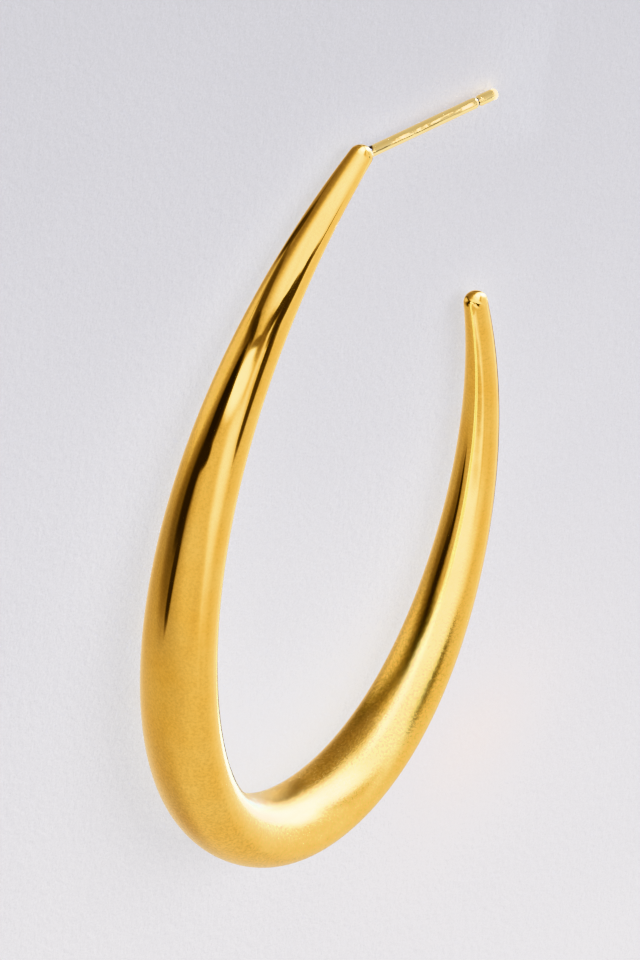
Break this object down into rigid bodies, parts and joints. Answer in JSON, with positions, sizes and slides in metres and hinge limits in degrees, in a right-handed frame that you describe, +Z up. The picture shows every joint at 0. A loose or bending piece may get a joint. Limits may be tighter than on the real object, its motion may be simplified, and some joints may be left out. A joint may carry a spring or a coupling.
{
  "type": "tapered hoop earring",
  "caption": "Open oval hoop of tapered gold-coloured tube, thickest round its bottom bend, with a straight grooved ear post soldered to its front end.",
  "frame": {"origin": "on the surface that the earring lies on, under the middle of its bounding box", "axes": "+Z up, across the plane of the hoop; +Y from the thick bottom bend to the two thin ends; +X the way the post points, which dips 2.3 degrees below +X as the earring rests"},
  "size_m": [0.0336, 0.0596, 0.0072],
  "materials": {
    "polished_gold": "polished gold-coloured metal, mirror bright, with a faint satin grain round the thick bend"
  },
  "bodies": {
    "root": {"hoop_and_post": "polished_gold"}
  },
  "joints": []
}
